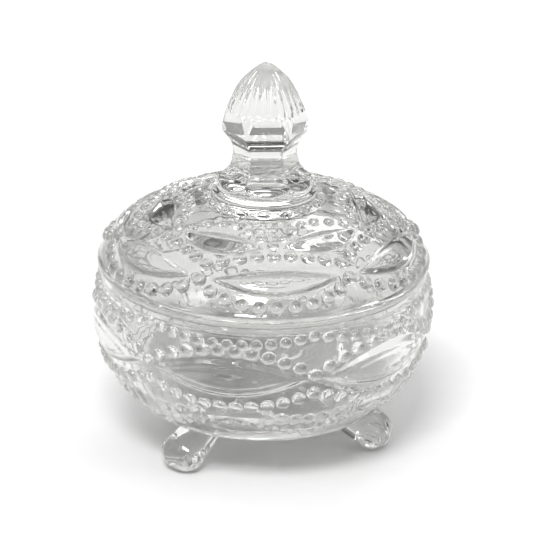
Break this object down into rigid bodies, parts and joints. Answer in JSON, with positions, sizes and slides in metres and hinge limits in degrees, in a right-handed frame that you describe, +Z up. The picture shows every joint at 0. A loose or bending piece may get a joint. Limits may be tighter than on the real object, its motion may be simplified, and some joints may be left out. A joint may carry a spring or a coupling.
{
  "type": "powder jar",
  "caption": "Round powder jar of clear pressed glass on three small scroll feet, with a domed lid that lifts off by its faceted, pointed finial.",
  "frame": {"origin": "on the table, under the middle of the jar", "axes": "+Z up along the jar's axis, -Y towards the front"},
  "size_m": [0.1132, 0.1132, 0.1347],
  "materials": {
    "clear_glass": "polished"
  },
  "bodies": {
    "bowl": {"bowl": "clear_glass"},
    "lid": {"lid": "clear_glass"}
  },
  "joints": [
    {"name": "lid_lift", "type": "slide", "parent": "bowl", "child": "lid", "axis": [0, 0, 1], "range_m": [0, 0.08]}
  ]
}
